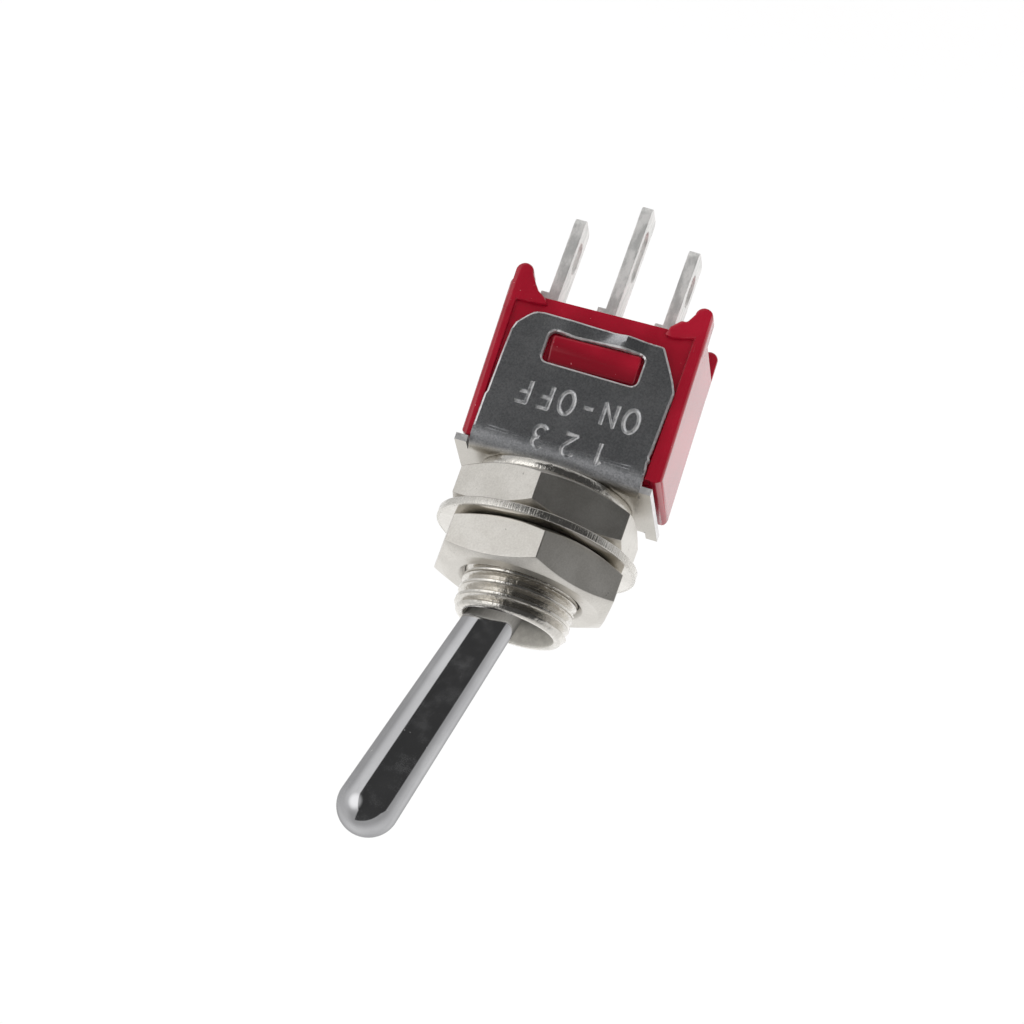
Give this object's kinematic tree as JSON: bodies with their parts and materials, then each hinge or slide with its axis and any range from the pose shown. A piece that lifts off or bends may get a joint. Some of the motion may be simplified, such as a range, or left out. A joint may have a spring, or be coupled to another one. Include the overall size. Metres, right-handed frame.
{
  "type": "toggle switch",
  "caption": "Small bat-lever toggle switch with a threaded panel bushing, hex nuts, washer, folded steel bracket, moulded case and solder lugs.",
  "frame": {"origin": "on the bushing's axis, at the outer face of the bracket's plate, where the bushing starts", "axes": "+Z along the bushing towards the lever; +X along the row of terminals, towards the side the lever rests on; -Y towards the panel that carries the stamping"},
  "size_m": [0.0089, 0.0088, 0.0297],
  "materials": {
    "bracket": "dull grey plated sheet with bright cut edges",
    "bushing": "bright nickel plate",
    "nuts": "bright nickel plate",
    "washer": "bright nickel plate",
    "lever": "polished chrome plate",
    "pin": "plain steel",
    "plunger": "natural nylon",
    "spring": "spring wire",
    "rocker": "spring bronze",
    "contacts": "silver face",
    "case": "glossy moulding",
    "seal": "cast resin",
    "terminals": "silver plate"
  },
  "bodies": {
    "switch_body": {"bracket": "bracket", "bushing": "bushing", "rear_nut": "nuts", "pivot_pin": "pin", "case": "case", "terminal_seal": "seal", "terminal_throw_a": "terminals", "terminal_common": "terminals", "terminal_throw_b": "terminals", "fixed_contact_a": "contacts", "fixed_contact_b": "contacts"},
    "lever_body": {"lever": "lever", "plunger_spring": "spring"},
    "plunger_body": {"plunger": "plunger"},
    "rocker_body": {"rocker": "rocker", "rocker_contact_a": "contacts", "rocker_contact_b": "contacts"},
    "washer_body": {"washer": "washer"},
    "front_nut_body": {"front_nut": "nuts"}
  },
  "joints": [
    {"name": "lever_swing", "type": "hinge", "parent": "switch_body", "child": "lever_body", "pos_m": [0, 0, 0.0031], "axis": [0, 1, 0], "range_deg": [-27.18, 0]},
    {"name": "plunger_press", "type": "slide", "parent": "lever_body", "child": "plunger_body", "axis": [0.235, 0, 0.972], "range_m": [0, 0.0004], "stiffness_N_per_m": 500, "springref_m": -0.0006, "deforming": ["plunger_spring"]},
    {"name": "rocker_tip", "type": "hinge", "parent": "switch_body", "child": "rocker_body", "pos_m": [0.00024, 0, -0.00347], "axis": [0, 1, 0], "range_deg": [0, 13.6]},
    {"name": "washer_rise", "type": "slide", "parent": "switch_body", "child": "washer_body", "axis": [0, 0, 1], "range_m": [0, 0.0015]},
    {"name": "front_nut_turn", "type": "hinge", "parent": "washer_body", "child": "front_nut_body", "pos_m": [0, 0, 0.00375], "axis": [0, 0, 1], "range_deg": [0, 1080]}
  ],
  "couplings": [
    {"joint": "rocker_tip", "follows": "lever_swing", "ratio": -0.5},
    {"joint": "front_nut_turn", "follows": "washer_rise", "rad_per_m": 12566}
  ]
}
